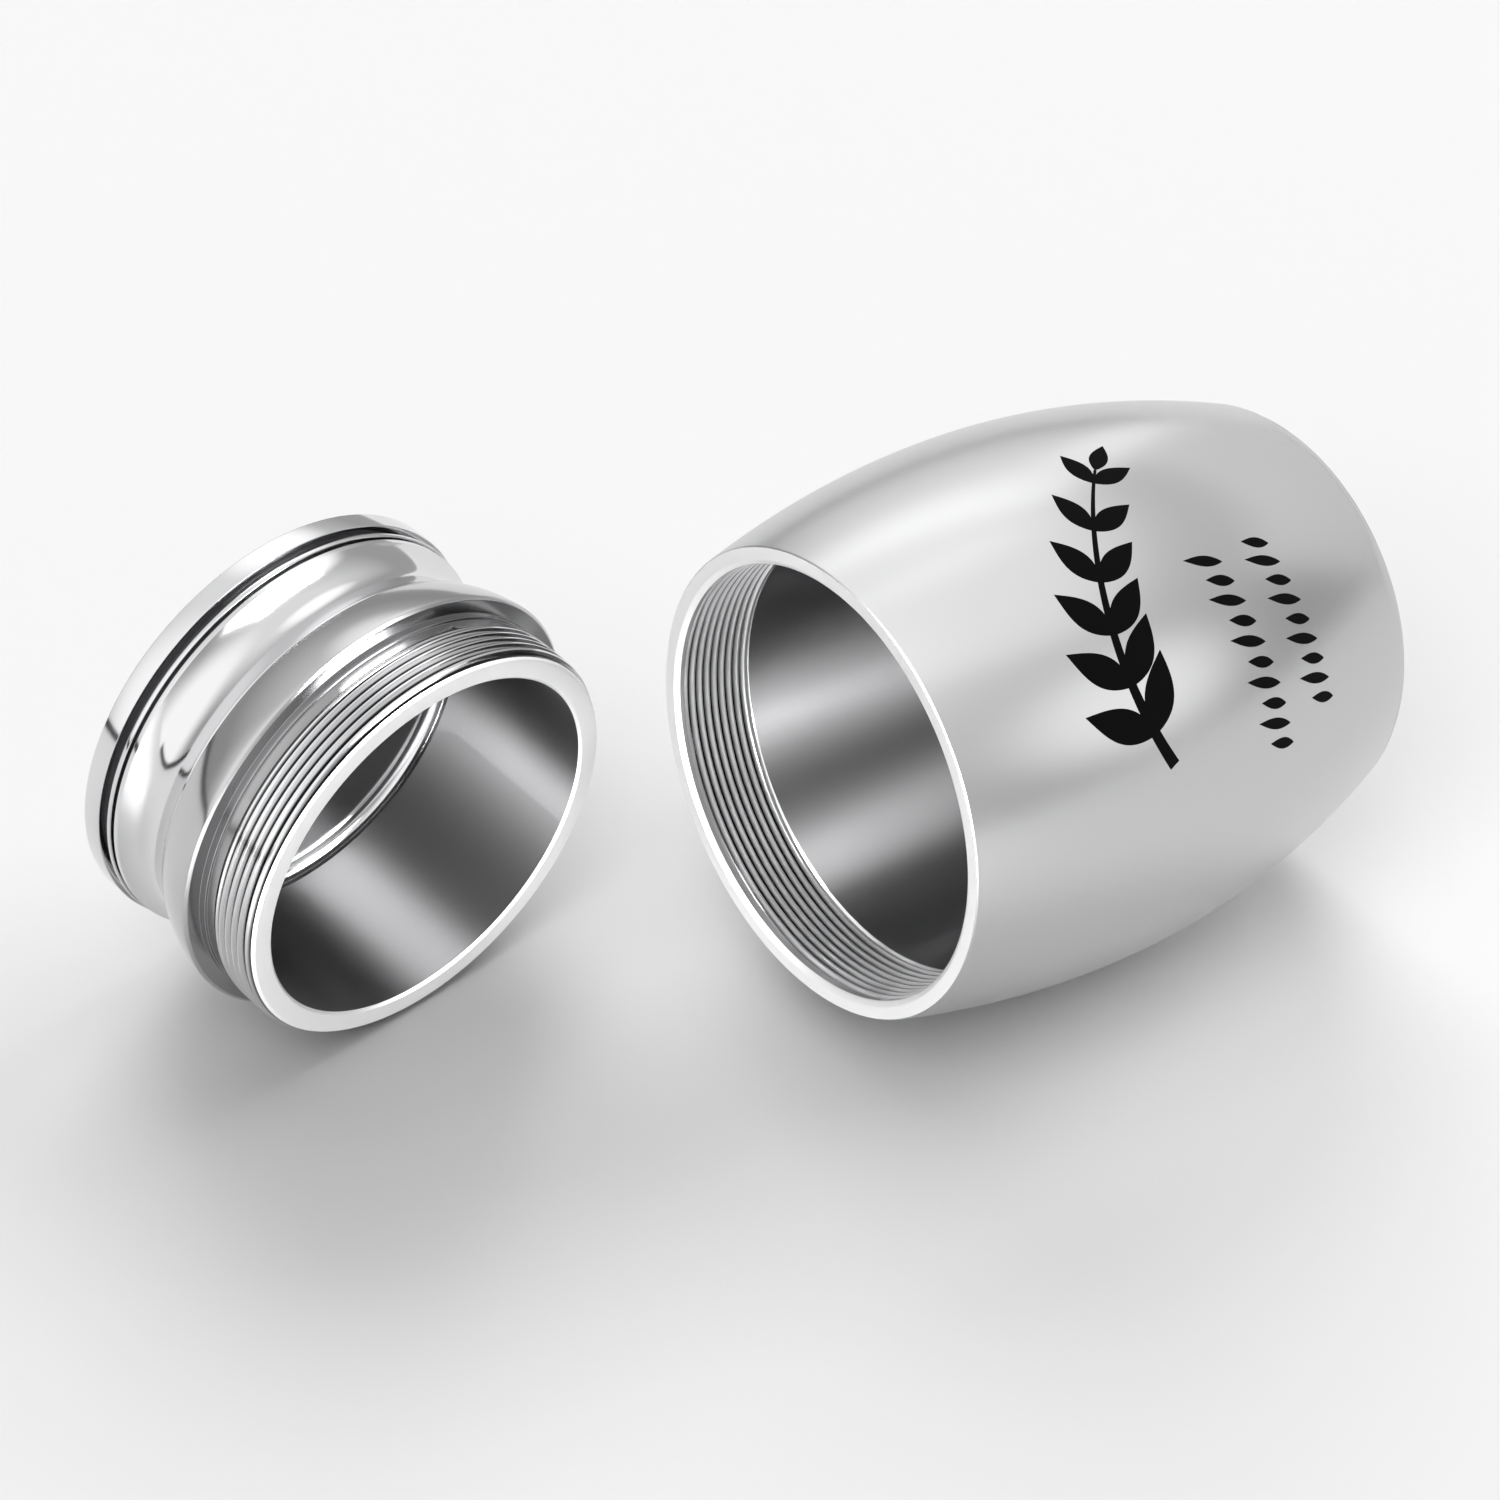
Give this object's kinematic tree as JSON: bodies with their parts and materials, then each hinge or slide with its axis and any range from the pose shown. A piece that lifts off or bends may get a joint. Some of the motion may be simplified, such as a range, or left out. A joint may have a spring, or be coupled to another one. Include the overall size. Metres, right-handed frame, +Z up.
{
  "type": "keepsake urn",
  "caption": "Small barrel-shaped stainless steel keepsake urn lying open on its side, with its fine-threaded screw-in lid lying beside the mouth.",
  "frame": {"origin": "on the surface that both pieces lie on, under the middle of the whole open object's bounding box", "axes": "+Z up; +X runs along the lying body from its mouth to its base, seen from above; +Y is the side where the lid lies"},
  "size_m": [0.0632, 0.042, 0.0301],
  "materials": {
    "satin_steel": "satin-polished stainless steel, soft broad reflections, blackened engraving on the belly",
    "polished_steel": "mirror-polished stainless steel with a satin blind bore"
  },
  "bodies": {
    "body": {"urn_body": "satin_steel"},
    "lid": {"lid": "polished_steel"}
  },
  "joints": [
    {"name": "lid_swing", "type": "hinge", "parent": "body", "child": "lid", "pos_m": [-0.00395, 0.00779, 0.01463], "axis": [-0.183, 0.094, 0.9786], "range_deg": [0, 86.4]}
  ]
}
